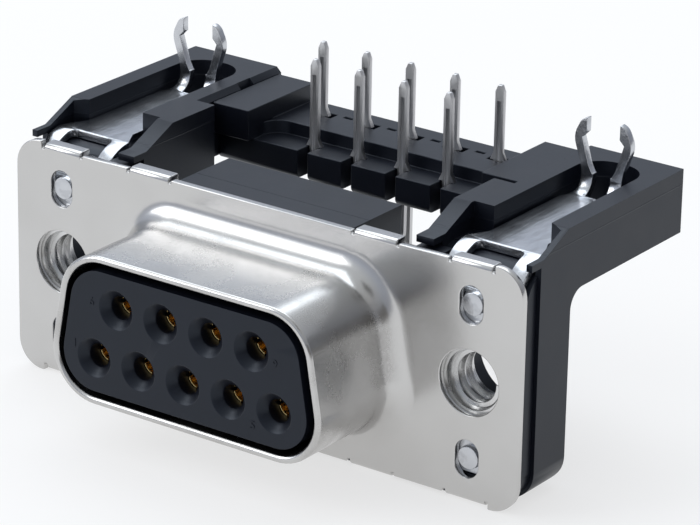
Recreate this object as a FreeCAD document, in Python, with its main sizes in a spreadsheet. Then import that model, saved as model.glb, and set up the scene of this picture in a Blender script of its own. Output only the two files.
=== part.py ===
"""Right-angle nine-way D-sub socket for a printed circuit board.

The frame: X runs along the flange, -Y is the side that the mating plug comes from, and +Z is the way
that the solder tails and the board locks point. The origin is the middle of the flange's front face,
halfway between the two screw holes. All sizes are in millimetres.
"""

import FreeCAD, Part
import math
import os
import re

import Sketcher
from FreeCAD import Vector

SIZES = {
    # Front shell: a flange with a drawn D-shaped collar
    "flange_width": 30.81,
    "flange_height": 12.55,
    "sheet": 0.4,
    "flange_corner": 1.5,
    "flange_ear": 1.7,
    "flange_relief": 0.22,
    "screw_inset": 2.91,
    "screw_clearance": 1.7,
    "collar_width": 16.33,
    "collar_height": 7.9,
    "collar_depth": 6.03,
    "collar_corner": 2.6,
    "collar_slant": 10,
    "collar_flare": 1.3,
    "collar_rim": 0.12,
    "opening_bevel": 1.0,
    # Lips that are folded back from the flange's long edges
    "lip_depth": 0.85,
    "lip_thickness": 0.36,
    "lip_rise": 0.12,
    "lip_fold": 0.29,
    "lip_notch": 0.18,
    "inner_lip_near": 6.845,
    "inner_lip_far": 4.395,
    "outer_lip_inward": 1.195,
    "outer_lip_outward": 1.105,
    # Pegs of the straps and the slots that show them
    "peg_spacing": 7.94,
    "peg_radius": 0.58,
    "peg_slot_width": 1.36,
    "peg_slot_height": 1.96,
    "peg_step": 0.12,
    # Front insulator: nose, flange and contact chambers
    "nose_gap": 0.36,
    "insulator_back": 1.8,
    "insulator_inset": 0.405,
    "insulator_foot_inset": 0.075,
    "insulator_ear_top": 5.75,
    "lip_room": 0.08,
    "contact_pitch": 2.74,
    "contact_row_gap": 2.84,
    "entry_radius": 0.6,
    "entry_chamfer": 0.43,
    "entry_depth": 1.2,
    "chamber_radius": 0.88,
    # Bracket: wall, arms and strap slots
    "bracket_inset": 0.205,
    "bracket_back": 4.5,
    "bracket_corner": 1.6,
    "bracket_heel": 1.0,
    "centre_top": 6.0,
    "centre_gap": 3.3,
    "gap_floor": 3.3,
    "arm_bottom": 3.9,
    "arm_top": 7.25,
    "arm_back": 14.5,
    "arm_inward": 3.895,
    "arm_step_inward": 2.995,
    "arm_step_front": 7.6,
    "arm_foot_width": 1.0,
    "arm_pad_front": 4.4,
    "arm_shoulder": 6.3,
    "arm_shoulder_back": 2.0,
    "arm_slope_back": 4.15,
    "arm_lip_front": 1.0,
    "arm_foot_bottom": 5.95,
    "arm_armpit": 1.0,
    "arm_bevel": 0.28,
    "slot_inward": 1.745,
    "slot_outward": 1.63,
    "slot_mouth_outward": 2.375,
    "slot_mouth_back": 3.9,
    "slot_taper_back": 4.25,
    "slot_back": 13.2,
    "slot_corner": 1.5,
    "slot_shaft_front": 10.3,
    "latch_front": 11.0,
    "latch_length": 1.1,
    "latch_width": 0.3,
    "latch_depth": 0.7,
    "screw_passage": 2.38,
    # Contact retainer in the window of the bracket's wall
    "retainer_half_width": 7.4,
    "retainer_half_height": 3.0,
    "retainer_back": 4.9,
    "retainer_bevel": 0.25,
    # Tail spacer: end blocks, bar and comb
    "tail_front_row": 10.18,
    "tail_row_gap": 2.54,
    "spacer_bottom": 3.75,
    "spacer_back": 14.3,
    "comb_top": 5.3,
    "comb_front": 9.1,
    "comb_slot": 0.62,
    "comb_slot_back": 0.35,
    "comb_round": 0.35,
    "bar_top": 6.0,
    "bar_front": 10.85,
    "bar_slot_width": 1.25,
    "bar_slot_depth": 0.64,
    "bar_pit_width": 0.55,
    "bar_pit_front": 13.0,
    "bar_pit_length": 0.26,
    "bar_pit_depth": 0.6,
    "end_width": 2.3,
    "end_top": 6.95,
    "end_front": 8.6,
    "end_corner": 1.1,
    "block_overlap": 0.5,
    # Contacts: slotted socket, flat stem and bent tail
    "socket_radius": 0.78,
    "socket_bore": 0.5,
    "socket_bore_depth": 4.6,
    "socket_slit": 0.18,
    "socket_slit_length": 3.2,
    "tail_width": 0.5,
    "tail_thickness": 0.27,
    "tail_bend": 0.5,
    "tail_top": 10.0,
    "tail_shoulder": 0.34,
    "tail_tip_width": 0.2,
    "tail_wing": 0.22,
    "tail_wing_height": 0.45,
    "tail_groove": 0.2,
    "tail_groove_depth": 0.09,
    "tail_groove_top": 0.85,
    "fit_gap": 0.03,
    # Straps: folded sheet with a plate, two legs and two prongs
    "strap_top": 6.2,
    "strap_bend": 2.4,
    "strap_inward": 2.195,
    "strap_outward": 2.255,
    "bend_room": 0.06,
    "strap_half_width": 1.58,
    "strap_shoulder": 2.7,
    "strap_inner_taper": 3.8,
    "strap_outer_taper": 4.1,
    "strap_plate_end": 2.9,
    "strap_tongue": 1.15,
    "strap_tongue_end": 4.8,
    "strap_recess_end": 3.5,
    "strap_seat_gap": 0.1,
    "strap_window_half": 1.36,
    "strap_window_back": 2.6,
    "strap_window_round": 0.4,
    "strap_window_floor": 4.7,
    "prong_front": 11.2,
    "prong_bend": 1.3,
    "prong_split_half": 0.5,
    "prong_split_front": 10.55,
    "prong_base_outer": 1.17,
    "prong_trim_front": 9.9,
    "prong_trim_back": 10.9,
    "prong_rise": 0.1,
    "prong_overlap": 0.1,
    "prong_waist": 7.6,
    "prong_waist_inner": 0.77,
    "prong_waist_outer": 1.24,
    "prong_knee": 9.0,
    "prong_knee_inner": 1.2,
    "prong_knee_outer": 1.71,
    "prong_neck": 9.93,
    "prong_neck_outer": 1.25,
    "prong_hook": 9.27,
    "prong_tip": 0.94,
    "prong_top": 10.02,
    "prong_knee_round": 1.1,
    "prong_neck_round": 0.6,
    # Threaded bushes for the screw locks
    "bush_radius": 2.1,
    "bush_neck": 1.9,
    "bush_length": 1.8,
    "bush_bore": 1.2,
    "bush_chamfer": 0.3,
}

# Places that follow from the sizes, so that a wider or higher flange takes its neighbours along
PLACES = {
    "screw_x": "flange_width / 2 - screw_inset",
    "flange_middle_edge": "flange_height / 2 - flange_relief",
    "lip_top": "flange_middle_edge + lip_rise",
    "inner_lip_start": "screw_x - inner_lip_near",
    "inner_lip_end": "screw_x - inner_lip_far",
    "outer_lip_start": "screw_x - outer_lip_inward",
    "outer_lip_end": "screw_x + outer_lip_outward",
    "insulator_side": "flange_width / 2 - insulator_inset",
    "insulator_foot": "flange_height / 2 - insulator_foot_inset",
    "bracket_side": "flange_width / 2 - bracket_inset",
    "arm_inner": "screw_x - arm_inward",
    "arm_step": "screw_x - arm_step_inward",
    "centre_side": "arm_inner - centre_gap",
    "slot_inner": "screw_x - slot_inward",
    "slot_outer": "screw_x + slot_outward",
    "slot_mouth": "screw_x + slot_mouth_outward",
    "end_inner": "arm_step - end_width",
    "strap_inner_edge": "screw_x - strap_inward",
    "strap_outer_edge": "screw_x + strap_outward",
    "strap_under": "strap_top - sheet",
    "strap_bend_inside": "strap_bend - sheet",
    "bush_back": "2 * sheet + bush_length",
    "row_height": "contact_row_gap / 2",
    "tail_back_row": "tail_front_row + tail_row_gap",
    "collar_half": "collar_width / 2 - (collar_height / 2 - collar_corner) * tan(collar_slant)"
                   " - collar_corner + collar_corner / cos(collar_slant)",
}

doc = FreeCAD.newDocument("SocketConnector")
sheet = doc.addObject("Spreadsheet::Sheet", "Sizes")
for row, (alias, size) in enumerate(SIZES.items(), start=1):
    sheet.set(f"A{row}", alias)
    sheet.set(f"B{row}", str(size))
    sheet.setAlias(f"B{row}", alias)
doc.recompute()

PLANE_ROLES = {"XY": "XY_Plane", "XZ": "XZ_Plane", "YZ": "YZ_Plane"}
# The XZ plane's normal points to -Y, the other two point to the positive side of their axis
PLANE_SIDES = {"XY": 1, "XZ": -1, "YZ": 1}
TOLERANCE = 1e-3


def linked(text):
    """Turn a formula in the sizes and places into one that reads the spreadsheet."""
    def spell_out(word):
        if word[0] in PLACES:
            return f"({linked(PLACES[word[0]])})"
        return f"Sizes.{word[0]}" if word[0] in SIZES else word[0]

    return re.sub(r"[a-z_]+", spell_out, str(text))


def value(text):
    """Work a formula out as a plain number."""
    result = sheet.evalExpression(linked(text))
    return float(getattr(result, "Value", result))


def new_body(label):
    made = doc.addObject("PartDesign::Body", label)
    made.Label = label
    return made


def draw_outline(drawing, corners):
    """Draw a closed outline whose corners are tied to the sheet, anticlockwise where it has arcs.

    A corner is (across, up), or (across, up, radius) where an outward arc leads to the next corner.
    """
    first = drawing.GeometryCount
    spots = [Vector(value(corner[0]), value(corner[1]), 0) for corner in corners]
    count = len(spots)
    for number, corner in enumerate(corners):
        start, stop = spots[number], spots[(number + 1) % count]
        if len(corner) == 3:
            line = outward_arc(start, stop, value(corner[2]))
        else:
            line = Part.LineSegment(start, stop)
        drawing.addGeometry(line, False)
    for number, corner in enumerate(corners):
        following = first + (number + 1) % count
        drawing.addConstraint(Sketcher.Constraint("Coincident", first + number, 2, following, 1))
        tie_point(drawing, first + number, 1, corner[0], corner[1])
        if len(corner) == 3:
            tie_radius(drawing, first + number, corner[2])


def outward_arc(start, stop, radius):
    """Make the arc of a radius that turns anticlockwise from start to stop."""
    chord = stop - start
    reach = math.sqrt(max(radius ** 2 - (chord.Length / 2) ** 2, 0))
    centre = (start + stop) / 2 + Vector(-chord.y, chord.x, 0).normalize() * reach
    angles = [math.atan2(spot.y - centre.y, spot.x - centre.x) for spot in (start, stop)]
    return Part.ArcOfCircle(Part.Circle(centre, Vector(0, 0, 1), radius), *angles)


def draw_circle(drawing, across, up, radius):
    """Draw a circle whose centre and radius are tied to the sheet."""
    round_line = Part.Circle(Vector(value(across), value(up), 0), Vector(0, 0, 1), value(radius))
    number = drawing.addGeometry(round_line, False)
    tie_point(drawing, number, 3, across, up)
    tie_radius(drawing, number, radius)


def tie_point(drawing, geometry, point, across, up):
    for kind, text in (("DistanceX", across), ("DistanceY", up)):
        size = drawing.addConstraint(Sketcher.Constraint(kind, -1, 1, geometry, point, value(text)))
        drawing.setExpression(f"Constraints[{size}]", linked(text))


def tie_radius(drawing, geometry, radius):
    size = drawing.addConstraint(Sketcher.Constraint("Radius", geometry, value(radius)))
    drawing.setExpression(f"Constraints[{size}]", linked(radius))


def draw(body, name, plane, level, shapes):
    """Add a sketch on one of the body's own planes, moved to a level along that plane's axis."""
    drawing = body.newObject("Sketcher::SketchObject", f"{name}Sketch")
    role = PLANE_ROLES[plane]
    support = next(item for item in body.Origin.OriginFeatures if item.Role == role)
    drawing.AttachmentSupport = [(support, "")]
    drawing.MapMode = "FlatFace"
    drawing.setExpression("AttachmentOffset.Base.z", linked(f"{PLANE_SIDES[plane]} * ({level})"))
    for shape in shapes:
        if isinstance(shape, tuple):
            draw_circle(drawing, *shape)
        else:
            draw_outline(drawing, shape)
    return drawing


def pad(body, name, plane, low, high, shapes):
    """Add material between two levels along the plane's axis."""
    level = low if PLANE_SIDES[plane] > 0 else high
    made = body.newObject("PartDesign::Pad", name)
    made.Profile = draw(body, name, plane, level, shapes)
    made.setExpression("Length", linked(f"({high}) - ({low})"))
    body.Tip = made
    return made


def pocket(body, name, plane, low, high, shapes):
    """Take material away between two levels along the plane's axis."""
    level = high if PLANE_SIDES[plane] > 0 else low
    made = body.newObject("PartDesign::Pocket", name)
    made.Profile = draw(body, name, plane, level, shapes)
    made.setExpression("Length", linked(f"({high}) - ({low})"))
    body.Tip = made
    return made


def edges_at(shape, axis=None, x=None, y=None, z=None, radius=None):
    """Name the straight edges along an axis, or the circles of a radius, that lie at these places.

    A place may be one formula or a list of them. Along X, both sides of the middle are taken.
    """
    names = []
    for number, edge in enumerate(shape.Edges, start=1):
        curve = edge.Curve
        if radius is None:
            if not isinstance(curve, Part.Line) or abs(abs(getattr(curve.Direction, axis)) - 1) > TOLERANCE:
                continue
            spot = edge.CenterOfMass
        else:
            if not isinstance(curve, Part.Circle) or abs(curve.Radius - value(radius)) > TOLERANCE:
                continue
            spot = curve.Center
        if all(lies_at(spot, direction, wanted) for direction, wanted in (("x", x), ("y", y), ("z", z))):
            names.append(f"Edge{number}")
    return names


def lies_at(spot, direction, wanted):
    if wanted is None:
        return True
    found = getattr(spot, direction)
    if direction == "x":
        found = abs(found)
    choices = wanted if isinstance(wanted, list) else [wanted]
    return any(abs(found - value(choice)) < TOLERANCE for choice in choices)


def treat_edges(body, name, kind, size, **places):
    """Round or bevel the edges of the body's last feature that lie at the given places."""
    doc.recompute()
    return treat(body, name, kind, size, edges_at(body.Tip.Shape, **places))


def treat(body, name, kind, size, names):
    if not names:
        raise ValueError(f"{body.Label}: no edge for {name}")
    base = body.Tip
    made = body.newObject(f"PartDesign::{kind}", name)
    made.Base = (base, names)
    made.setExpression("Radius" if kind == "Fillet" else "Size", linked(size))
    body.Tip = made
    return made


def round_edges(body, name, size, **places):
    return treat_edges(body, name, "Fillet", size, **places)


def bevel_edges(body, name, size, **places):
    return treat_edges(body, name, "Chamfer", size, **places)


def box(left, right, bottom, top):
    return [(left, bottom), (right, bottom), (right, top), (left, top)]


def mirrored(points):
    """Close a half outline, given from the middle's bottom to its top on the right, on the left."""
    return points + [(f"-({across})", up) for across, up in reversed(points)]


def sided(side, near, far):
    """Give a span that lies from near to far on the right, or its mirror image, low end first."""
    return (near, far) if side > 0 else (f"-({far})", f"-({near})")


LIP_SPANS = [("inner_lip_start", "inner_lip_end"), ("outer_lip_start", "outer_lip_end")]


def d_outline(inset):
    """The D outline, wide side down, set in from the collar's outside, with its rounded corners."""
    half = f"(collar_half - ({inset}) / cos(collar_slant))"
    rise = f"(collar_height / 2 - ({inset}))"
    corner = f"collar_corner - ({inset})"
    wide = f"({half} + {rise} * tan(collar_slant))"
    narrow = f"({half} - {rise} * tan(collar_slant))"
    low = f"({corner}) / tan((90 - collar_slant) / 2)"
    high = f"({corner}) / tan((90 + collar_slant) / 2)"
    low_side = (f"{wide} - {low} * sin(collar_slant)", f"{low} * cos(collar_slant) - {rise}")
    high_side = (f"{narrow} + {high} * sin(collar_slant)", f"{rise} - {high} * cos(collar_slant)")
    return [
        (f"{wide} - {low}", f"-{rise}", corner), low_side,
        (*high_side, corner), (f"{narrow} - {high}", rise),
        (f"{high} - {narrow}", rise, corner), (f"-({high_side[0]})", high_side[1]),
        (f"-({low_side[0]})", low_side[1], corner), (f"{low} - {wide}", f"-{rise}"),
    ]


def under_bend():
    """The corner that the housing leaves free for the inside of the strap's front bend."""
    middle = "(sheet + strap_bend)"
    height = "(strap_top - strap_bend)"
    reach = "(strap_bend_inside - bend_room)"
    return [
        (middle, f"{height} + {reach}", reach), (f"{middle} - {reach}", height), ("2 * sheet", height),
        ("2 * sheet", "strap_under"), (middle, "strap_under"),
    ]


def eight_sides(across, up, radius):
    """An outline with eight equal sides, its corners on a circle."""
    return [
        (f"{across} + {radius} * cos({turn})", f"{up} + {radius} * sin({turn})") for turn in range(0, 360, 45)
    ]


def contact_places():
    """Give each contact its number, its place along X and its row: five in the wide row, four above."""
    places = []
    for number in range(1, 6):
        places.append((number, f"{number - 3} * contact_pitch", "lower"))
    for number in range(6, 10):
        places.append((number, f"{number - 7.5} * contact_pitch", "upper"))
    return places


def row_height(row):
    return "row_height" if row == "upper" else "-row_height"


def make_front_shell():
    body = new_body("front_shell")
    wide = "flange_width / 2"
    ear = "flange_width / 2 - flange_ear"
    high = "flange_height / 2"
    slope = "flange_width / 2 - flange_ear - flange_relief"
    outline = mirrored([
        (slope, "-flange_middle_edge"), (ear, f"-{high}"), (wide, f"-{high}"),
        (wide, high), (ear, high), (slope, "flange_middle_edge"),
    ])
    pad(body, "Flange", "XZ", 0, "sheet", [outline])
    round_edges(body, "FlangeCorners", "flange_corner", axis="y", x=wide, z=[high, f"-{high}"])
    pad(body, "Collar", "XZ", "-collar_depth", "sheet / 2", [d_outline(0)])
    treat_ring(body, "CollarFlare", "Fillet", "collar_flare", "0", "collar_height / 2")
    pocket(body, "Opening", "XZ", "-collar_depth", "sheet", [d_outline("sheet")])
    treat_ring(body, "OpeningFlare", "Chamfer", "opening_bevel", "sheet", "collar_height / 2 - sheet")
    treat_ring(body, "Rim", "Chamfer", "collar_rim", "-collar_depth", "collar_height / 2")
    add_lips(body)
    holes = [(f"{side} * screw_x", "0", "screw_clearance") for side in (-1, 1)]
    pocket(body, "ScrewHoles", "XZ", 0, "sheet", holes)
    slots = []
    for side in (-1, 1):
        for level in (-1, 1):
            slots.append(upright_slot(f"{side} * screw_x", f"{level} * peg_spacing / 2"))
    pocket(body, "PegSlots", "XZ", 0, "sheet", slots)
    return body


def upright_slot(middle, height):
    """A slot with round ends, as wide as the peg slot and taller than it is wide."""
    radius = "peg_slot_width / 2"
    left, right = f"{middle} - {radius}", f"{middle} + {radius}"
    low, high = (f"{height} {sign} (peg_slot_height / 2 - {radius})" for sign in "-+")
    return [(right, low), (right, high, radius), (left, high), (left, low, radius)]


def treat_ring(body, name, kind, size, level, height):
    """Round or bevel the D-shaped rings of edges that lie in one plane across Y and within a height."""
    doc.recompute()
    names = []
    for number, edge in enumerate(body.Tip.Shape.Edges, start=1):
        limits = edge.BoundBox
        if abs(limits.YMin - value(level)) > TOLERANCE or abs(limits.YMax - value(level)) > TOLERANCE:
            continue
        within_width = max(abs(limits.XMin), abs(limits.XMax)) < value("collar_width / 2") + TOLERANCE
        within_height = max(abs(limits.ZMin), abs(limits.ZMax)) < value(height) + TOLERANCE
        if within_width and within_height:
            names.append(f"Edge{number}")
    return treat(body, name, kind, size, names)


def add_lips(body):
    """Fold four lips back from each long edge, with a small notch at both ends of each."""
    notches = []
    for level in (-1, 1):
        for side in (-1, 1):
            for start, end in LIP_SPANS:
                for outer, inner in ((start, f"{start} - lip_notch"), (f"{end} + lip_notch", end)):
                    left, right = sided(side, inner, outer)
                    low, high = sided(level, "flange_middle_edge - lip_notch", "flange_height / 2")
                    notches.append(box(left, right, low, high))
    pocket(body, "LipNotches", "XZ", 0, "sheet", notches)
    for level, level_name in ((-1, "Bottom"), (1, "Top")):
        for side, side_name in ((-1, "Left"), (1, "Right")):
            for (start, end), place in zip(LIP_SPANS, ("Inner", "Outer")):
                left, right = sided(side, start, end)
                low, high = sided(level, "lip_top - lip_thickness", "lip_top")
                fold = box(0, "lip_depth", low, high)
                pad(body, f"{level_name}{side_name}{place}Lip", "YZ", left, right, [fold])
    round_edges(body, "LipFolds", "lip_fold", axis="x", y="0", z=["lip_top", "-lip_top"])


def flange_profile(half_width, bottom, ear_top):
    """The outline that the front insulator and the bracket's wall share, with its two open gaps."""
    return mirrored([
        (half_width, f"-({bottom})"), (half_width, ear_top), ("arm_inner", ear_top),
        ("arm_inner", "gap_floor"), ("centre_side", "gap_floor"),
        ("centre_side", "centre_top"),
    ])


def make_front_insulator():
    body = new_body("front_insulator")
    outline = flange_profile("insulator_side", "insulator_foot", "insulator_ear_top")
    pad(body, "Flange", "XZ", "sheet", "insulator_back", [outline])
    round_edges(
        body, "FlangeCorners", "bracket_corner", axis="y",
        x="insulator_side", z="-insulator_foot",
    )
    pad(body, "Nose", "XZ", "-collar_depth", "(sheet + insulator_back) / 2", [d_outline("sheet + nose_gap")])
    entries = [(x, row_height(row), "entry_radius") for _, x, row in contact_places()]
    chambers = [eight_sides(x, row_height(row), "chamber_radius") for _, x, row in contact_places()]
    pocket(body, "Entries", "XZ", "-collar_depth", "entry_depth - collar_depth", entries)
    pocket(body, "Chambers", "XZ", "entry_depth - collar_depth", "insulator_back", chambers)
    bevel_edges(body, "EntryCones", "entry_chamfer", radius="entry_radius", y="-collar_depth")
    seats = []
    tongues = []
    for side in (-1, 1):
        left, right = sided(side, "strap_inner_edge - strap_seat_gap", "insulator_side")
        seats.append(box(left, right, "-strap_recess_end", "insulator_ear_top"))
        left, right = sided(
            side, "screw_x - strap_tongue - strap_seat_gap", "screw_x + strap_tongue + strap_seat_gap",
        )
        tongues.append(box(left, right, "-(strap_tongue_end + strap_seat_gap)", "-strap_recess_end"))
    pocket(body, "StrapSeats", "XZ", "sheet", "2 * sheet", seats)
    pocket(body, "TongueSeats", "XZ", "sheet", "2 * sheet", tongues)
    rooms = []
    for side in (-1, 1):
        for start, end in LIP_SPANS:
            left, right = sided(side, f"{start} - lip_room", f"{end} + lip_room")
            rooms.append(box(left, right, "-insulator_foot", "lip_thickness + lip_room - lip_top"))
    pocket(body, "LipRooms", "XZ", "sheet", "lip_depth + lip_room", rooms)
    for side, side_name in ((-1, "Left"), (1, "Right")):
        left, right = sided(side, "strap_inner_edge - strap_seat_gap", "insulator_side")
        pocket(body, f"{side_name}BendRoom", "YZ", left, right, [under_bend()])
    bores = [(f"{side} * screw_x", "0", "bush_radius") for side in (-1, 1)]
    pocket(body, "BushBores", "XZ", "sheet", "insulator_back", bores)
    return body


def make_contact_retainer():
    body = new_body("contact_retainer")
    face = box(
        "-retainer_half_width", "retainer_half_width", "-retainer_half_height", "retainer_half_height",
    )
    pad(body, "Block", "XZ", "insulator_back", "retainer_back", [face])
    passages = []
    for _, x, row in contact_places():
        middle = row_height(row)
        passages.append(box(
            f"{x} - tail_width / 2 - fit_gap", f"{x} + tail_width / 2 + fit_gap",
            f"{middle} - tail_thickness / 2 - fit_gap", f"{middle} + tail_thickness / 2 + fit_gap",
        ))
    pocket(body, "StemPassages", "XZ", "insulator_back", "retainer_back", passages)
    bevel_edges(
        body, "BackEdges", "retainer_bevel", axis="x", y="retainer_back",
        z=["retainer_half_height", "-retainer_half_height"],
    )
    return body


def make_bracket():
    body = new_body("bracket")
    outline = flange_profile("bracket_side", "flange_height / 2", "strap_under")
    pad(body, "Wall", "XZ", "insulator_back", "bracket_back", [outline])
    round_edges(
        body, "BottomCorners", "bracket_corner", axis="y", x="bracket_side", z="-flange_height / 2",
    )
    heel = [
        ("bracket_back - bracket_heel", "-flange_height / 2", "bracket_heel"),
        ("bracket_back", "bracket_heel - flange_height / 2"), ("bracket_back", "-flange_height / 2"),
    ]
    pocket(body, "Heel", "YZ", "-bracket_side", "bracket_side", [heel])
    arms = []
    lips = []
    feet = []
    slots = []
    shafts = []
    latches = []
    for side in (-1, 1):
        def place(points):
            return [(f"{side} * ({across})", along) for across, along in points]

        arms.append(place([
            ("arm_inner", "insulator_back"), ("bracket_side", "insulator_back"),
            ("bracket_side", "arm_back"), ("arm_step", "arm_back"),
            ("arm_step", "arm_step_front"), ("arm_inner", "arm_step_front"),
        ]))
        lips.append(place([
            ("slot_mouth", "arm_lip_front"), ("bracket_side", "arm_lip_front"),
            ("bracket_side", "insulator_back"), ("slot_mouth", "insulator_back"),
        ]))
        feet.append(place([
            ("arm_inner", "arm_lip_front"), ("arm_inner + arm_foot_width", "arm_lip_front"),
            ("arm_inner + arm_foot_width", "insulator_back"), ("arm_inner", "insulator_back"),
        ]))
        slots.append(place([
            ("arm_inner + arm_foot_width", "insulator_back"), ("slot_mouth", "insulator_back"),
            ("slot_mouth", "slot_mouth_back"), ("slot_outer", "slot_taper_back"),
            ("slot_outer", "slot_back"), ("slot_inner", "slot_back"),
            ("slot_inner", "arm_pad_front"), ("arm_inner + arm_foot_width", "arm_pad_front"),
        ]))
        shafts.append(place([
            ("slot_inner", "slot_shaft_front"), ("slot_outer", "slot_shaft_front"),
            ("slot_outer", "slot_back"), ("slot_inner", "slot_back"),
        ]))
        latches.append(place([
            ("arm_step", "latch_front"), ("arm_step + latch_width", "latch_front"),
            ("arm_step + latch_width", "latch_front + latch_length"),
            ("arm_step", "latch_front + latch_length"),
        ]))
    pad(body, "Arms", "XY", "arm_bottom", "arm_top", arms)
    pad(body, "OuterLips", "XY", "arm_foot_bottom", "arm_top", lips)
    pad(body, "InnerFeet", "XY", "arm_foot_bottom", "arm_top", feet)
    armpit = [
        ("bracket_back + arm_armpit", "arm_bottom", "arm_armpit"),
        ("bracket_back", "arm_bottom - arm_armpit"), ("bracket_back", "arm_bottom"),
    ]
    for side, side_name in ((-1, "Left"), (1, "Right")):
        pad(body, f"{side_name}Armpit", "YZ", *sided(side, "arm_inner", "bracket_side"), [armpit])
    pocket(body, "StrapSlots", "XY", "strap_under", "arm_top", slots)
    pocket(body, "ProngShafts", "XY", "arm_bottom", "strap_under", shafts)
    round_edges(
        body, "ShaftCorners", "slot_corner", axis="z", x=["slot_inner", "slot_outer"], y="slot_back",
    )
    for side, side_name in ((-1, "Left"), (1, "Right")):
        left, right = sided(side, "arm_inner + arm_foot_width", "slot_mouth")
        pocket(body, f"{side_name}BendRoom", "YZ", left, right, [under_bend()])
    over = [
        ("arm_lip_front", "arm_shoulder"), ("arm_shoulder_back", "arm_shoulder"),
        ("arm_slope_back", "arm_top"), ("arm_lip_front", "arm_top"),
    ]
    pocket(body, "Slopes", "YZ", "-bracket_side", "bracket_side", [over])
    bevel_edges(body, "StepBevels", "arm_bevel", axis="y", x="arm_step", z="arm_top")
    pocket(body, "LatchWindows", "XY", "arm_top - latch_depth", "arm_top", latches)
    window = box(
        "-retainer_half_width", "retainer_half_width", "-retainer_half_height", "retainer_half_height",
    )
    pocket(body, "RetainerWindow", "XZ", "insulator_back", "bracket_back", [window])
    passages = [(f"{side} * screw_x", "0", "screw_passage") for side in (-1, 1)]
    pocket(body, "ScrewPassages", "XZ", "bush_back", "bracket_back", passages)
    seats = [(f"{side} * screw_x", "0", "bush_radius") for side in (-1, 1)]
    pocket(body, "BushSeats", "XZ", "insulator_back", "bush_back", seats)
    return body


def make_tail_spacer():
    body = new_body("tail_spacer")
    comb = [("-arm_step", "spacer_back"), ("-arm_step", "comb_front")]
    for _, x, row in contact_places():
        if row == "upper":
            left = f"{x} - comb_slot / 2"
            right = f"{x} + comb_slot / 2"
            depth = "tail_front_row + comb_slot_back"
            comb += [(left, "comb_front"), (left, depth), (right, depth), (right, "comb_front")]
    comb += [("arm_step", "comb_front"), ("arm_step", "spacer_back")]
    pad(body, "Comb", "XY", "spacer_bottom", "comb_top", [comb])
    round_edges(body, "FingerToes", "comb_round", axis="x", y="comb_front", z="spacer_bottom")
    bar = box("-end_inner - block_overlap", "end_inner + block_overlap", "bar_front", "spacer_back")
    pad(body, "Bar", "XY", "comb_top", "bar_top", [bar])
    ends = []
    for side in (-1, 1):
        left, right = sided(side, "end_inner", "arm_step")
        ends.append(box(left, right, "end_front", "spacer_back"))
    pad(body, "EndBlocks", "XY", "comb_top", "end_top", ends)
    round_edges(body, "InsideCorners", "end_corner", axis="z", x="end_inner", y="bar_front")
    slots = []
    pits = []
    slot_front = "(tail_back_row - tail_thickness / 2 - fit_gap)"
    for _, x, row in contact_places():
        if row == "lower":
            slots.append(box(
                f"{x} - bar_slot_width / 2", f"{x} + bar_slot_width / 2",
                slot_front, f"{slot_front} + bar_slot_depth",
            ))
        else:
            pits.append(box(
                f"{x} - bar_pit_width / 2", f"{x} + bar_pit_width / 2",
                "bar_pit_front", "bar_pit_front + bar_pit_length",
            ))
    pocket(body, "TailSlots", "XY", "spacer_bottom", "bar_top", slots)
    pocket(body, "BarPits", "XY", "bar_top - bar_pit_depth", "bar_top", pits)
    return body


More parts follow.
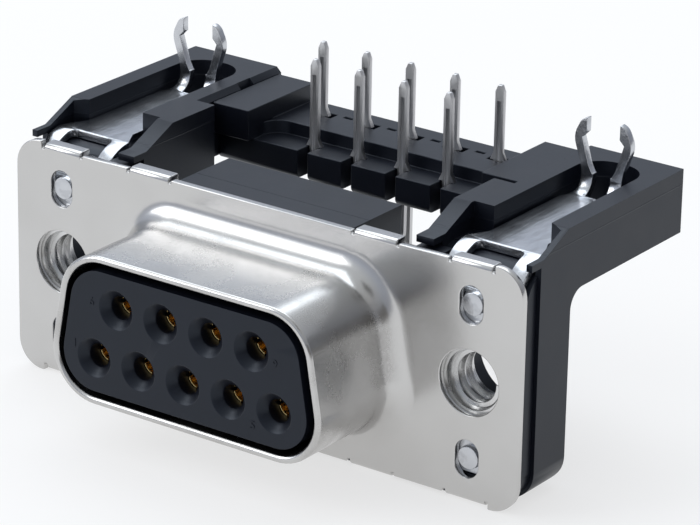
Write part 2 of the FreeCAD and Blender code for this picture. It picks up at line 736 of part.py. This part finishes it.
def make_contact(number, x, row):
    """A slotted socket whose flat stem runs back and bends up into a pointed tail."""
    body = new_body(f"contact_{number}")
    height = row_height(row)
    behind = "tail_front_row" if row == "upper" else "tail_back_row"
    plastic = "comb_top" if row == "upper" else "bar_top"
    mouth = "entry_depth - collar_depth"
    pad(body, "Socket", "XZ", mouth, "insulator_back", [eight_sides(x, height, "socket_radius")])
    pocket(body, "SocketBore", "XZ", mouth, f"{mouth} + socket_bore_depth", [(x, height, "socket_bore")])
    across = box(
        f"{x} - socket_radius", f"{x} + socket_radius",
        f"{height} - socket_slit / 2", f"{height} + socket_slit / 2",
    )
    upright = box(
        f"{x} - socket_slit / 2", f"{x} + socket_slit / 2",
        f"{height} - socket_radius", f"{height} + socket_radius",
    )
    pocket(body, "LevelSlit", "XZ", mouth, f"{mouth} + socket_slit_length", [across])
    pocket(body, "UprightSlit", "XZ", mouth, f"{mouth} + socket_slit_length", [upright])
    half = "tail_thickness / 2"
    stem_start = "insulator_back - block_overlap"
    stem = [
        (stem_start, f"{height} - {half}"), (f"{behind} + {half}", f"{height} - {half}"),
        (f"{behind} + {half}", "tail_top"), (f"{behind} - {half}", "tail_top"),
        (f"{behind} - {half}", f"{height} + {half}"), (stem_start, f"{height} + {half}"),
    ]
    pad(body, "Stem", "YZ", f"{x} - tail_width / 2", f"{x} + tail_width / 2", [stem])
    round_edges(
        body, "OuterBend", "tail_bend + tail_thickness", axis="x",
        y=f"{behind} + {half}", z=f"{height} - {half}",
    )
    round_edges(body, "InnerBend", "tail_bend", axis="x", y=f"{behind} - {half}", z=f"{height} + {half}")
    wings = [
        (f"{x} - tail_width / 2 - tail_wing", plastic), (f"{x} + tail_width / 2 + tail_wing", plastic),
        (f"{x} + tail_width / 2", f"{plastic} + tail_wing_height"),
        (f"{x} - tail_width / 2", f"{plastic} + tail_wing_height"),
    ]
    pad(body, "Wings", "XZ", f"{behind} - {half}", f"{behind} + {half}", [wings])
    left_corner = [
        (f"{x} - tail_width / 2", "tail_top - tail_shoulder"), (f"{x} - tail_tip_width / 2", "tail_top"),
        (f"{x} - tail_width / 2", "tail_top"),
    ]
    right_corner = [
        (f"{x} + tail_width / 2", "tail_top - tail_shoulder"), (f"{x} + tail_width / 2", "tail_top"),
        (f"{x} + tail_tip_width / 2", "tail_top"),
    ]
    pocket(body, "Point", "XZ", f"{behind} - {half}", f"{behind} + {half}", [left_corner, right_corner])
    groove = box(
        f"{x} - tail_groove / 2", f"{x} + tail_groove / 2",
        f"{plastic} - tail_wing_height", "tail_top - tail_groove_top",
    )
    pocket(body, "Groove", "XZ", f"{behind} - {half}", f"{behind} - {half} + tail_groove_depth", [groove])
    return body


def make_strap(side, name):
    """One folded strap: plate with pegs behind the flange, legs over the top, prongs at the back."""
    body = new_body(name)
    middle = f"{side} * screw_x"
    prong_back = "(prong_front + sheet)"
    bend_top = "(strap_under + prong_bend + prong_rise)"
    profile = [
        ("sheet", "-strap_plate_end"), ("2 * sheet", "-strap_plate_end"), ("2 * sheet", "strap_under"),
        (prong_back, "strap_under"), (prong_back, bend_top), ("prong_front", bend_top),
        ("prong_front", "strap_top"), ("sheet", "strap_top"),
    ]
    left, right = sided(side, "strap_inner_edge", "strap_outer_edge")
    pad(body, "Sheet", "YZ", left, right, [profile])
    round_edges(body, "FrontBendOuter", "strap_bend", axis="x", y="sheet", z="strap_top")
    round_edges(body, "FrontBendInner", "strap_bend - sheet", axis="x", y="2 * sheet", z="strap_under")
    round_edges(body, "BackBendOuter", "prong_bend", axis="x", y=prong_back, z="strap_under")
    round_edges(body, "BackBendInner", "prong_bend - sheet", axis="x", y="prong_front", z="strap_top")
    waists = []
    for edge, waist, taper in (
        ("strap_inner_edge", "screw_x - strap_half_width", "strap_inner_taper"),
        ("strap_outer_edge", "screw_x + strap_half_width", "strap_outer_taper"),
    ):
        waists.append([(f"{side} * ({across})", along) for across, along in (
            (edge, "strap_shoulder"), (waist, taper), (waist, prong_back), (edge, prong_back),
        )])
    pocket(body, "Waists", "XY", "strap_under", bend_top, waists)
    split = box(
        f"{middle} - prong_split_half", f"{middle} + prong_split_half", "prong_split_front", prong_back,
    )
    pocket(body, "ProngSplit", "XY", "strap_under", bend_top, [split])
    outer_trims = []
    for way in (-1, 1):
        near = f"{middle} + {way} * prong_base_outer"
        far = f"{middle} + {way} * strap_half_width"
        outer_trims.append([
            (far, "prong_trim_front"), (near, "prong_trim_back"), (near, prong_back), (far, prong_back),
        ])
    pocket(body, "ProngTrims", "XY", "strap_under", bend_top, outer_trims)
    window = box(
        f"{middle} - strap_window_half", f"{middle} + strap_window_half", "sheet", "strap_window_back",
    )
    pocket(body, "Window", "XY", "strap_window_floor", "strap_top", [window])
    round_edges(
        body, "WindowCorners", "strap_window_round", axis="z",
        x=["screw_x - strap_window_half", "screw_x + strap_window_half"], y="strap_window_back",
    )
    tongue = box(
        f"{middle} - strap_tongue", f"{middle} + strap_tongue", "-strap_tongue_end", "-strap_plate_end",
    )
    pad(body, "Tongue", "XZ", "sheet", "2 * sheet", [tongue])
    for level, level_name in ((-1, "Lower"), (1, "Upper")):
        peg = (middle, f"{level} * peg_spacing / 2", "peg_radius")
        pad(body, f"{level_name}Peg", "XZ", "peg_step", "2 * sheet", [peg])
    pocket(body, "BushHole", "XZ", "sheet", "2 * sheet", [(middle, "0", "bush_neck")])
    prongs = []
    for way in (-1, 1):
        prongs.append([(f"{middle} + {way} * ({across})", up) for across, up in (
            ("prong_split_half", f"{bend_top} - prong_overlap"),
            ("prong_base_outer", f"{bend_top} - prong_overlap"),
            ("prong_waist_outer", "prong_waist"), ("prong_knee_outer", "prong_knee"),
            ("prong_neck_outer", "prong_neck"), ("prong_tip", "prong_top"), ("prong_tip", "prong_hook"),
            ("prong_knee_inner", "prong_knee"), ("prong_waist_inner", "prong_waist"),
        )])
    pad(body, "Prongs", "XZ", "prong_front", prong_back, prongs)
    for corner, level in (("knee", "prong_knee"), ("neck", "prong_neck")):
        round_edges(
            body, f"Prong{corner.title()}s", f"prong_{corner}_round", axis="y",
            x=[f"screw_x - prong_{corner}_outer", f"screw_x + prong_{corner}_outer"], z=level,
        )
    return body


def make_bush(side, name):
    """A threaded bush that the screw lock of the mating plug turns into."""
    body = new_body(name)
    middle = f"{side} * screw_x"
    pad(body, "Barrel", "XZ", "2 * sheet", "bush_back", [(middle, "0", "bush_radius")])
    pad(body, "Neck", "XZ", "sheet", "2 * sheet", [(middle, "0", "bush_neck")])
    pocket(body, "Bore", "XZ", "sheet", "bush_back", [(middle, "0", "bush_bore")])
    bevel_edges(body, "LeadIn", "bush_chamfer", radius="bush_bore", y="sheet")
    return body


def make_all():
    pieces = [make_front_shell(), make_front_insulator(), make_contact_retainer(), make_bracket()]
    pieces.append(make_tail_spacer())
    pieces += [make_strap(-1, "strap_left"), make_strap(1, "strap_right")]
    pieces += [make_bush(-1, "bush_left"), make_bush(1, "bush_right")]
    for number, x, row in contact_places():
        pieces.append(make_contact(number, x, row))
    return pieces


def check(pieces):
    """Stop if an object of the document failed or a piece isn't one whole solid."""
    for item in doc.Objects:
        if "Invalid" in item.State or "Error" in item.State:
            raise RuntimeError(f"{item.Name} of {item.InList[0].Label if item.InList else '-'} failed")
    for piece in pieces:
        if piece.Shape.isNull() or not piece.Shape.isValid():
            raise RuntimeError(f"{piece.Label} has no valid shape")
        if len(piece.Shape.Solids) != 1:
            raise RuntimeError(f"{piece.Label} is {len(piece.Shape.Solids)} solids")


pieces = make_all()
doc.recompute()
check(pieces)
os.makedirs("parts", exist_ok=True)
for piece in pieces:
    piece.Shape.exportStep(f"parts/{piece.Label}.step")
    limits = piece.Shape.BoundBox
    print(f"{piece.Label}: {piece.Shape.Volume:.2f} mm3, {len(piece.Shape.Faces)} faces, "
          f"x {limits.XMin:.2f} to {limits.XMax:.2f}, y {limits.YMin:.2f} to {limits.YMax:.2f}, "
          f"z {limits.ZMin:.2f} to {limits.ZMax:.2f}")
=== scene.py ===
"""Looks of the right-angle D-sub socket: finishes, threads, moulded numbers, studio and camera.

Everything is in metres in the part's own frame: X along the flange, -Y towards the mating plug, +Z the way
the solder tails point. The part stands on the lower edge of its flange.
"""

import math

import bpy
from mathutils import Matrix, Vector


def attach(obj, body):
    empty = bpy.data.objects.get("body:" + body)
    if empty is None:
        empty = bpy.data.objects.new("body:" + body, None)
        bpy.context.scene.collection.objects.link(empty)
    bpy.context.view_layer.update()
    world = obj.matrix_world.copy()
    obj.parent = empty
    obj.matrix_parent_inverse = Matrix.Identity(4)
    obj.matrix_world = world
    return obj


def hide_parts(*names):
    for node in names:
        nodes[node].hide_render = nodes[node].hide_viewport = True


MM = 0.001
FLOOR = -6.275 * MM
SCREW_X = 12.495 * MM
COLLAR_FRONT = -6.03 * MM
CONTACT_PITCH = 2.74 * MM
CONTACT_ROW = 1.42 * MM

# Camera that was fitted to the photograph
CAMERA_PLACE = Vector((106.66, -142.46, 73.64)) * MM
CAMERA_RIGHT = Vector((0.81228, 0.58299, 0.01835))
CAMERA_UP = Vector((-0.22903, 0.28985, 0.92928))
CAMERA_AHEAD = Vector((-0.53643, 0.75903, -0.36896))
CAMERA_LENS = 201.43
CAMERA_SENSOR = 36
CAMERA_SHIFT = (-0.01236, 0.00404)

# Studio
FLOOR_SIZE = 6
FLOOR_GLOW = 0.66
ROOM_LIGHT = 0.9
CARD_RIGHT_TONE = (0.16, 0.145, 0.13)
CARD_ABOVE_TONE = (0.2, 0.19, 0.18)
COOL_LIGHT = (0.88, 0.94, 1.0)

# Thread of the bushes: 40 turns to the inch, with its ridge between the radii of crest and root
THREAD_PITCH = 0.635 * MM
THREAD_CREST = 1.23 * MM
THREAD_ROOT = 1.45 * MM
THREAD_FOOT = 0.84 * THREAD_PITCH
THREAD_CREST_SHARE = 0.14
THREAD_TURNS = 3
THREAD_STEPS = 48
THREAD_START = 0.18 * MM

# Turned bushes, from the front; heights run back from the bush's own front
BUSH_OUTSIDE = 2.1 * MM
BUSH_NECK = 1.9 * MM
BUSH_FRONT = 0.4 * MM
BUSH_STEP = 0.8 * MM
BUSH_BACK = 2.6 * MM
BUSH_LEAD = 0.1 * MM
BUSH_SIDES = 64
BUSH_PROFILE = [
    (THREAD_ROOT + BUSH_LEAD, 0), (BUSH_NECK, 0), (BUSH_NECK, BUSH_STEP - BUSH_FRONT),
    (BUSH_OUTSIDE, BUSH_STEP - BUSH_FRONT), (BUSH_OUTSIDE, BUSH_BACK - BUSH_FRONT),
    (THREAD_ROOT, BUSH_BACK - BUSH_FRONT), (THREAD_ROOT, 3 * BUSH_LEAD),
]

# Moulded contact numbers, each from the middle of its contact: (number, contact's X and Z, across, up)
NUMBER_HEIGHT = 0.62 * MM
NUMBER_RISE = 0.03 * MM
NUMBER_PLACES = [
    ("1", -2 * CONTACT_PITCH, -CONTACT_ROW, -1.2 * MM, 0.5 * MM),
    ("5", 2 * CONTACT_PITCH, -CONTACT_ROW, -1.25 * MM, -0.95 * MM),
    ("6", -1.5 * CONTACT_PITCH, CONTACT_ROW, -1.5 * MM, 0.1 * MM),
    ("9", 1.5 * CONTACT_PITCH, CONTACT_ROW, 1.4 * MM, -0.3 * MM),
]

# Vertices nearer than this are one, and faces that turn by less are one flat face
SAME_PLACE = 0.0005 * MM
SAME_PLANE = math.radians(0.6)
SHARP_EDGE = math.radians(30)
BUSH_SHARP_EDGE = math.radians(35)


class Wire:
    """A number or colour on its way through a finish, so that shader maths reads as plain expressions."""

    def __init__(self, finish, socket):
        self.finish = finish
        self.socket = socket

    def work(self, operation, first, second, clamp=False):
        settings = {"operation": operation, "use_clamp": clamp}
        return self.finish.add("ShaderNodeMath", settings, {0: first, 1: second})

    def __add__(self, other):
        return self.work("ADD", self, other)

    __radd__ = __add__

    def __sub__(self, other):
        return self.work("SUBTRACT", self, other)

    def __rsub__(self, other):
        return self.work("SUBTRACT", other, self)

    def __mul__(self, other):
        return self.work("MULTIPLY", self, other)

    __rmul__ = __mul__

    def __truediv__(self, other):
        return self.work("DIVIDE", self, other)

    def __pow__(self, other):
        return self.work("POWER", self, other)

    def above(self, level, blend):
        """0 below a level and 1 above it, with a short soft step between."""
        return self.work("ADD", (self - level) / blend, 0.5, clamp=True)


class Finish:
    """A material under construction."""

    def __init__(self, owner):
        self.owner = owner
        owner.use_nodes = True
        self.tree = owner.node_tree
        self.tree.nodes.clear()

    def add(self, kind, settings=None, inputs=None, output=0):
        """Add a node with its settings and with the values or wires of its inputs, and give one output."""
        node = self.tree.nodes.new(kind)
        for name, setting in (settings or {}).items():
            if name == "stops":
                ramp = node.color_ramp
                while len(ramp.elements) < len(setting):
                    ramp.elements.new(0.5)
                for element, (spot, color) in zip(ramp.elements, setting):
                    element.position = spot
                    element.color = (*color, 1)
            else:
                setattr(node, name, setting)
        for key, content in (inputs or {}).items():
            socket = node.inputs[key]
            if isinstance(content, Wire):
                self.tree.links.new(content.socket, socket)
            else:
                socket.default_value = content
        return Wire(self, node.outputs[output]) if len(node.outputs) else None

    def spot(self, stretch=(1, 1, 1)):
        """The place on the object, in metres, stretched where a pattern runs one way."""
        place = self.add("ShaderNodeTexCoord", output=3)
        return self.add("ShaderNodeMapping", {"vector_type": "POINT"}, {"Vector": place, "Scale": stretch})

    def noise(self, size, detail=2, roughness=0.5, stretch=(1, 1, 1)):
        """Soft noise whose blotches are about the given size across, in metres."""
        return self.add(
            "ShaderNodeTexNoise", {"noise_dimensions": "3D"},
            {"Vector": self.spot(stretch), "Scale": 1 / size, "Detail": detail, "Roughness": roughness},
        )

    def across(self, axis):
        """One coordinate of the place on the object, in metres."""
        return self.add("ShaderNodeSeparateXYZ", None, {0: self.spot()}, output="XYZ".index(axis))

    def mix(self, first, second, share, way="MIX"):
        return self.add(
            "ShaderNodeMix", {"data_type": "RGBA", "blend_type": way},
            {"Factor": share, 6: self.opaque(first), 7: self.opaque(second)}, output=2,
        )

    @staticmethod
    def opaque(color):
        return color if isinstance(color, Wire) else (*color, 1)

    def bump(self, height, depth, strength=1.0):
        return self.add("ShaderNodeBump", None, {"Strength": strength, "Distance": depth, "Height": height})

    def surface(self, color, metallic, roughness, normal=None, **fixed):
        inputs = {"Base Color": self.opaque(color), "Metallic": metallic, "Roughness": roughness}
        if normal is not None:
            inputs["Normal"] = normal
        inputs.update({name.replace("_", " "): content for name, content in fixed.items()})
        shader = self.add("ShaderNodeBsdfPrincipled", None, inputs)
        self.add("ShaderNodeOutputMaterial", None, {"Surface": shader})
        return self.owner


def nickel_sheet():
    """Nickel-plated steel: slow clouds, a fine pitted grain where the sheet was drawn, faint draw marks."""
    finish = Finish(bpy.data.materials.new("nickel_sheet"))
    cloud = finish.noise(3.2 * MM, detail=3)
    grain = finish.noise(0.15 * MM, detail=2, roughness=0.6)
    draw_marks = finish.noise(0.22 * MM, detail=2, stretch=(1, 0.06, 1))
    drawn = 1 - finish.across("Y").above(-0.35 * MM, 0.5 * MM)
    pitted = finish.noise(2.4 * MM, detail=2).above(0.52, 0.25) * drawn
    plain = finish.mix((0.53, 0.524, 0.515), (0.61, 0.606, 0.6), cloud)
    color = finish.mix(plain, (0.33, 0.315, 0.3), 0.55 * pitted * grain)
    rough = 0.17 + 0.1 * cloud + 0.16 * pitted * grain
    height = (0.25 + 0.9 * pitted) * grain + 0.4 * draw_marks + 1.5 * cloud
    return finish.surface(color, 1.0, rough, finish.bump(height, 0.004 * MM, 0.5))


def black_plastic(name, seam_height):
    """Black moulded polyester: a fine grain, an uneven sheen and the thin parting line of its mould."""
    finish = Finish(bpy.data.materials.new(name))
    sheen = finish.noise(1.6 * MM, detail=2)
    grain = finish.noise(0.07 * MM, detail=2, roughness=0.6)
    sink = finish.noise(0.9 * MM, detail=1)
    level = finish.across("Z")
    below = 1 - level.above(seam_height + 0.03 * MM, 0.02 * MM)
    seam = below * level.above(seam_height - 0.03 * MM, 0.02 * MM) * (0.4 + 1.2 * sheen)
    color = finish.mix((0.004, 0.0046, 0.008), (0.007, 0.0085, 0.0145), sheen)
    rough = 0.3 + 0.1 * sheen + 0.06 * grain
    bumps = finish.bump(grain + 2.5 * sink + 5 * seam, 0.003 * MM, 0.5)
    gloss = {"Specular_IOR_Level": 0.36, "Specular_Tint": (0.76, 0.86, 1.0, 1)}
    return finish.surface(color, 0.0, rough, bumps, **gloss)


def bright_tin(name, streak):
    """Tinned sheet: bright, a little blue, with rolling streaks along one axis and a few scuffs."""
    finish = Finish(bpy.data.materials.new(name))
    cloud = finish.noise(1.2 * MM, detail=3)
    roll = finish.noise(0.14 * MM, detail=3, roughness=0.6, stretch=streak)
    scuff = finish.noise(0.5 * MM, detail=3, stretch=(1, 0.3, 1)).above(0.56, 0.1)
    color = finish.mix((0.5, 0.515, 0.545), (0.62, 0.635, 0.665), cloud)
    worn = finish.mix(color, (0.36, 0.37, 0.39), 0.6 * scuff * roll)
    rough = 0.12 + 0.1 * cloud + 0.12 * roll
    return finish.surface(worn, 1.0, rough, finish.bump(roll + 1.2 * cloud + 0.6 * scuff, 0.006 * MM, 0.6))


def contact_plating():
    """Gold on the sockets, matt tin on the tails, with the change inside the housing."""
    finish = Finish(bpy.data.materials.new("contact_plating"))
    cloud = finish.noise(0.5 * MM, detail=2)
    drawn = finish.noise(0.06 * MM, detail=2, stretch=(1, 1, 0.05))
    tin = finish.mix((0.56, 0.56, 0.565), (0.7, 0.7, 0.705), drawn)
    gold = finish.mix((0.84, 0.6, 0.24), (0.95, 0.72, 0.34), cloud)
    behind = finish.across("Y").above(3.0 * MM, 0.4 * MM)
    color = finish.mix(gold, tin, behind)
    rough = 0.2 + 0.1 * cloud + 0.16 * behind
    return finish.surface(color, 1.0, rough, finish.bump(drawn, 0.003 * MM, 0.5))


def turned_bush():
    """Nickel-plated turned bush, with fine turning marks round its axis."""
    finish = Finish(bpy.data.materials.new("turned_bush"))
    turn = finish.noise(0.1 * MM, detail=2, stretch=(0.1, 1, 0.1))
    color = finish.mix((0.62, 0.62, 0.615), (0.74, 0.74, 0.74), turn)
    return finish.surface(color, 1.0, 0.22 + 0.12 * turn, finish.bump(turn, 0.003 * MM, 0.5))


def dress(node, material, edge, held=False):
    """Give a CAD node its finish, and its sharp edges a small round that catches the light.

    Where held is true, the round stays within the node's shortest edges.
    """
    node.data.materials.clear()
    node.data.materials.append(material)
    for face in node.data.polygons:
        face.use_smooth = True
    weld = node.modifiers.new("merge", "WELD")
    weld.merge_threshold = SAME_PLACE
    flatten = node.modifiers.new("flatten", "DECIMATE")
    flatten.decimate_type = "DISSOLVE"
    flatten.angle_limit = SAME_PLANE
    rounding = node.modifiers.new("edge_round", "BEVEL")
    rounding.width = edge
    rounding.segments = 2
    rounding.limit_method = "ANGLE"
    rounding.angle_limit = SHARP_EDGE
    rounding.use_clamp_overlap = held
    calm = node.modifiers.new("flat_faces", "WEIGHTED_NORMAL")
    calm.mode = "FACE_AREA"
    calm.weight = 100


def deselect():
    """Let go of everything, so that the next operator acts on its own piece only."""
    bpy.ops.object.select_all(action="DESELECT")


def take(piece):
    """Make one object the only one selected, and the active one."""
    deselect()
    piece.select_set(True)
    bpy.context.view_layer.objects.active = piece


def settle(piece):
    """Move a finished piece's place into its mesh."""
    take(piece)
    bpy.ops.object.transform_apply(location=True, rotation=True, scale=True)


def start_editing(piece):
    """Open one piece in edit mode with all of it selected."""
    take(piece)
    bpy.ops.object.mode_set(mode="EDIT")
    bpy.ops.mesh.select_all(action="SELECT")


def close_seams(piece):
    """Merge what lies on top of each other and turn every face outwards."""
    start_editing(piece)
    bpy.ops.mesh.remove_doubles(threshold=SAME_PLACE)
    bpy.ops.mesh.normals_make_consistent(inside=False)
    bpy.ops.object.mode_set(mode="OBJECT")


def thread_coil(name):
    """The thread's ridge: a plane narrowed to a flank's profile and wound round the bush's axis."""
    middle = (THREAD_ROOT + THREAD_CREST) / 2
    deselect()
    bpy.ops.mesh.primitive_plane_add(size=1, location=(middle, 0, 0), rotation=(math.pi / 2, 0, 0))
    ridge = bpy.context.object
    ridge.name = name
    ridge.scale = (THREAD_ROOT - THREAD_CREST, THREAD_FOOT, 1)
    settle(ridge)
    for corner in ridge.data.vertices:
        corner.select = corner.co.x < middle
    take(ridge)
    bpy.ops.object.mode_set(mode="EDIT")
    bpy.ops.mesh.select_mode(type="VERT")
    bpy.ops.transform.resize(value=(1, 1, THREAD_CREST_SHARE))
    bpy.ops.mesh.select_all(action="SELECT")
    bpy.ops.mesh.delete(type="ONLY_FACE")
    bpy.ops.object.mode_set(mode="OBJECT")
    wind = ridge.modifiers.new("wind", "SCREW")
    wind.axis = "Z"
    wind.angle = math.tau
    wind.screw_offset = THREAD_PITCH
    wind.iterations = THREAD_TURNS
    wind.steps = THREAD_STEPS
    wind.render_steps = THREAD_STEPS
    take(ridge)
    bpy.ops.object.modifier_apply(modifier="wind")
    start_editing(ridge)
    bpy.ops.mesh.remove_doubles(threshold=SAME_PLACE)
    bpy.ops.mesh.select_all(action="DESELECT")
    bpy.ops.mesh.select_non_manifold(extend=False)
    bpy.ops.mesh.edge_face_add()
    bpy.ops.object.mode_set(mode="OBJECT")
    close_seams(ridge)
    return ridge


def turned_sleeve(name, profile):
    """A closed ring turned to a profile of (radius, height): a circle, extruded and resized by steps."""
    deselect()
    radius, height = profile[0]
    bpy.ops.mesh.primitive_circle_add(vertices=BUSH_SIDES, radius=radius, location=(0, 0, height))
    sleeve = bpy.context.object
    sleeve.name = name
    settle(sleeve)
    start_editing(sleeve)
    for next_radius, next_height in (*profile[1:], profile[0]):
        bpy.ops.mesh.extrude_region_move(TRANSFORM_OT_translate={"value": (0, 0, next_height - height)})
        bpy.ops.transform.resize(value=(next_radius / radius, next_radius / radius, 1))
        radius, height = next_radius, next_height
    bpy.ops.object.mode_set(mode="OBJECT")
    close_seams(sleeve)
    return sleeve


def make_bushes(material):
    """Threaded bushes in place of the plain ones."""
    for side, node in ((-1, "bush_left"), (1, "bush_right")):
        sleeve = turned_sleeve(f"{node}_turned", BUSH_PROFILE)
        coil = thread_coil(f"{node}_thread")
        coil.location.z = THREAD_START
        settle(coil)
        deselect()
        coil.select_set(True)
        sleeve.select_set(True)
        bpy.context.view_layer.objects.active = sleeve
        bpy.ops.object.join()
        sleeve.rotation_euler.x = math.radians(-90)
        sleeve.location = (side * SCREW_X, BUSH_FRONT, 0)
        settle(sleeve)
        sleeve.data.materials.append(material)
        take(sleeve)
        bpy.ops.object.shade_smooth_by_angle(angle=BUSH_SHARP_EDGE)
        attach(sleeve, "root")
        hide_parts(node)


def make_numbers(material):
    """Contact numbers at the ends of both rows, raised a little from the nose's face."""
    for text, contact_x, contact_z, across, up in NUMBER_PLACES:
        place = (contact_x + across, COLLAR_FRONT, contact_z + up)
        deselect()
        bpy.ops.object.text_add(location=place, rotation=(math.radians(90), 0, 0))
        number = bpy.context.object
        number.name = f"number_{text}"
        number.data.body = text
        number.data.size = NUMBER_HEIGHT
        number.data.extrude = NUMBER_RISE
        number.data.resolution_u = 4
        number.data.align_x = "CENTER"
        number.data.align_y = "CENTER"
        bpy.ops.object.convert(target="MESH")
        number = bpy.context.object
        settle(number)
        close_seams(number)
        number.data.materials.clear()
        number.data.materials.append(material)
        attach(number, "root")


def make_floor():
    """A white table that keeps the part's shadow; the camera and the metal see it nearly white."""
    deselect()
    bpy.ops.mesh.primitive_plane_add(size=FLOOR_SIZE, location=(0, 0, FLOOR))
    floor = bpy.context.object
    floor.name = "floor"
    finish = Finish(bpy.data.materials.new("floor_white"))
    camera_ray, glossy_ray, passing_ray = (
        finish.add("ShaderNodeLightPath", output=name)
        for name in ("Is Camera Ray", "Is Glossy Ray", "Is Transmission Ray")
    )
    seen = camera_ray.work("ADD", camera_ray + glossy_ray, passing_ray, clamp=True)
    matt = finish.add("ShaderNodeBsdfDiffuse", None, {"Color": (0.9, 0.9, 0.905, 1)})
    glow = finish.add("ShaderNodeEmission", None, {"Color": (1, 1, 1, 1), "Strength": 1.0})
    both = finish.add("ShaderNodeMixShader", None, {0: FLOOR_GLOW * seen, 1: matt, 2: glow})
    finish.add("ShaderNodeOutputMaterial", None, {"Surface": both})
    floor.data.materials.append(finish.owner)


def make_card(name, place, size, tone):
    """A grey card of the studio, hidden from the camera, for the metal to mirror something darker."""
    deselect()
    turn = (-Vector(place)).to_track_quat("Z", "Y").to_euler()
    bpy.ops.mesh.primitive_plane_add(size=1, location=place, rotation=turn)
    card = bpy.context.object
    card.name = name
    card.scale = (*size, 1)
    settle(card)
    finish = Finish(bpy.data.materials.new(name))
    matt = finish.add("ShaderNodeBsdfDiffuse", None, {"Color": (*tone, 1)})
    finish.add("ShaderNodeOutputMaterial", None, {"Surface": matt})
    card.data.materials.append(finish.owner)
    card.visible_camera = False
    card.visible_shadow = False
    card.visible_diffuse = False


def make_world():
    """A pale room: cool and bright overhead, warmer and greyer low on the right."""
    world = bpy.data.worlds.new("pale_room")
    bpy.context.scene.world = world
    finish = Finish(world)
    place = finish.add("ShaderNodeTexCoord", output=0)
    height = finish.add("ShaderNodeSeparateXYZ", None, {0: place}, output=2)
    across = finish.add("ShaderNodeSeparateXYZ", None, {0: place}, output=0)
    stops = [(0.0, (0.5, 0.53, 0.6)), (0.3, (0.62, 0.68, 0.8)), (0.75, (0.9, 0.95, 1.0))]
    sky = finish.add("ShaderNodeValToRGB", {"stops": stops}, {0: height})
    right = (across + 1.0) * 0.5
    shade = finish.mix((1.0, 1.0, 1.0), (0.5, 0.47, 0.44), right ** 1.5)
    color = finish.mix(sky, shade, 1.0, way="MULTIPLY")
    room = finish.add("ShaderNodeBackground", None, {"Color": color, "Strength": ROOM_LIGHT})
    finish.add("ShaderNodeOutputWorld", None, {"Surface": room})


def add_lamp(name, place, size, power, color=(1, 1, 1)):
    """A square soft box, turned towards the part."""
    data = bpy.data.lights.new(name, "AREA")
    data.shape = "SQUARE"
    data.size = size
    data.energy = power
    data.color = color
    lamp = bpy.data.objects.new(name, data)
    bpy.context.scene.collection.objects.link(lamp)
    lamp.location = place
    lamp.rotation_mode = "QUATERNION"
    lamp.rotation_quaternion = (-Vector(place)).to_track_quat("-Z", "Y")


def make_camera():
    """The camera at the photograph's viewing angle."""
    data = bpy.data.cameras.new("camera")
    data.lens = CAMERA_LENS
    data.sensor_width = CAMERA_SENSOR
    data.shift_x, data.shift_y = CAMERA_SHIFT
    data.clip_start = 0.01
    data.clip_end = 20
    camera = bpy.data.objects.new("camera", data)
    bpy.context.scene.collection.objects.link(camera)
    turn = Matrix((CAMERA_RIGHT, CAMERA_UP, -CAMERA_AHEAD)).transposed()
    camera.matrix_world = Matrix.Translation(CAMERA_PLACE) @ turn.to_4x4()
    bpy.context.scene.camera = camera


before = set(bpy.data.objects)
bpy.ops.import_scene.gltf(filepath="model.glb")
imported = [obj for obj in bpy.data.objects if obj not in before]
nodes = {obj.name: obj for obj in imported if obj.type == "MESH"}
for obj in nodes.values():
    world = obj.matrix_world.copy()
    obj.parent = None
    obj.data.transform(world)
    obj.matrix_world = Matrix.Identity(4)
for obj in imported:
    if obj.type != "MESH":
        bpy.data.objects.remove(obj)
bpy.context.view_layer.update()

nickel = nickel_sheet()
plastic = black_plastic("black_plastic", -5.6 * MM)
arm_plastic = black_plastic("arm_plastic", 6.45 * MM)
strap_tin = bright_tin("strap_tin", (1, 0.08, 1))
plating = contact_plating()
bush_nickel = turned_bush()

dress(nodes["front_shell"], nickel, 0.05 * MM)
dress(nodes["front_insulator"], plastic, 0.025 * MM)
dress(nodes["contact_retainer"], plastic, 0.05 * MM)
dress(nodes["bracket"], arm_plastic, 0.08 * MM, held=True)
dress(nodes["tail_spacer"], plastic, 0.05 * MM)
for name in ("strap_left", "strap_right"):
    dress(nodes[name], strap_tin, 0.03 * MM)
for number in range(1, 10):
    dress(nodes[f"contact_{number}"], plating, 0.03 * MM)
make_bushes(bush_nickel)
make_numbers(plastic)

make_floor()
make_world()
make_card("card_right", (0.2, -0.12, 0.03), (0.16, 0.1), CARD_RIGHT_TONE)
make_card("card_above", (0.18, -0.16, 0.32), (0.14, 0.14), CARD_ABOVE_TONE)
add_lamp("top_soft", (-0.3, 0.3, 0.75), size=0.8, power=3.6, color=COOL_LIGHT)
add_lamp("left_soft", (-0.6, -0.45, 0.45), size=0.5, power=2.2)
make_camera()
bpy.context.scene.view_settings.view_transform = "Standard"
